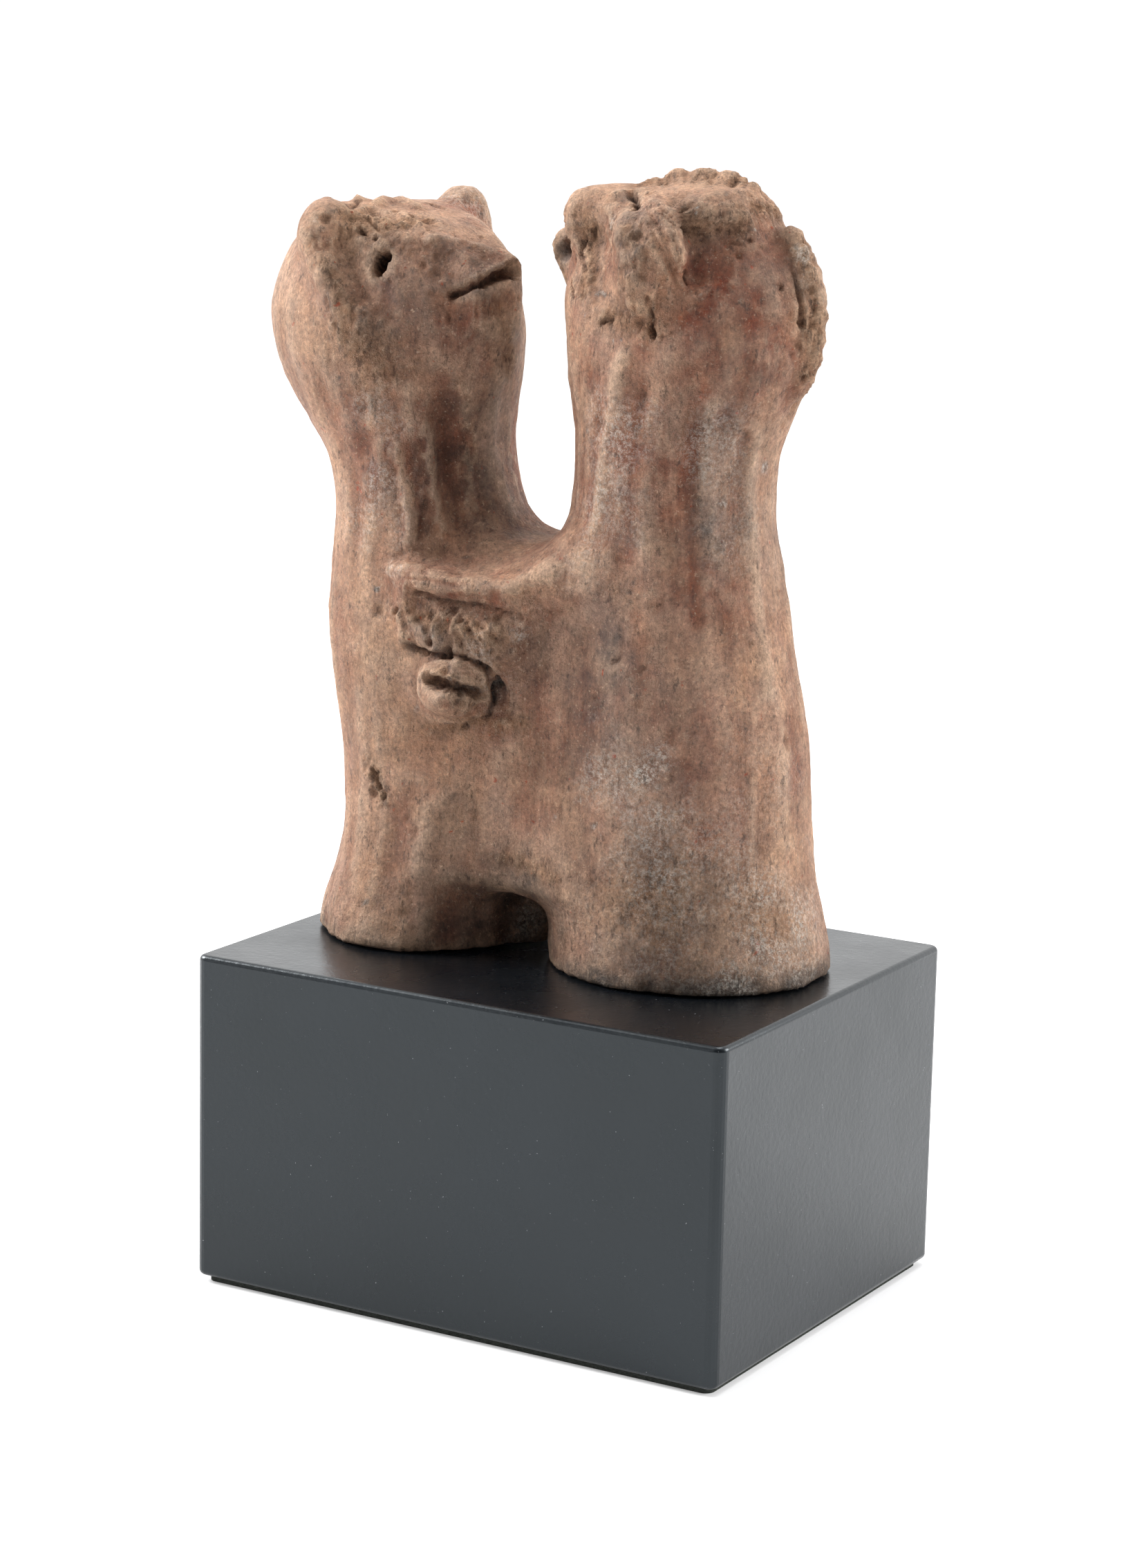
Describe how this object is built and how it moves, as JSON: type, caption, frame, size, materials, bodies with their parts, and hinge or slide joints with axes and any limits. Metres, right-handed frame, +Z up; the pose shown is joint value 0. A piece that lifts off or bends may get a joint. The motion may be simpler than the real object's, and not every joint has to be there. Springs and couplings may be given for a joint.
{
  "type": "terracotta double figure",
  "caption": "Hand-modelled terracotta figure of two standing animal-headed bodies grown together face to face, on a black painted wooden block with a felt pad.",
  "frame": {"origin": "middle of the underside of the felt pad, on the surface that the object stands on", "axes": "+Z up, +X from the left figure towards the right figure, -Y towards the side with the arm and the button"},
  "size_m": [0.0984, 0.0698, 0.1679],
  "materials": {
    "terracotta": "fired, burnished in places, worn and pitted",
    "black_painted_wood": "sprayed satin black",
    "dark_felt": "pressed felt"
  },
  "bodies": {
    "root": {"double_figure": "terracotta", "plinth_block": "black_painted_wood", "felt_pad": "dark_felt"}
  },
  "joints": []
}
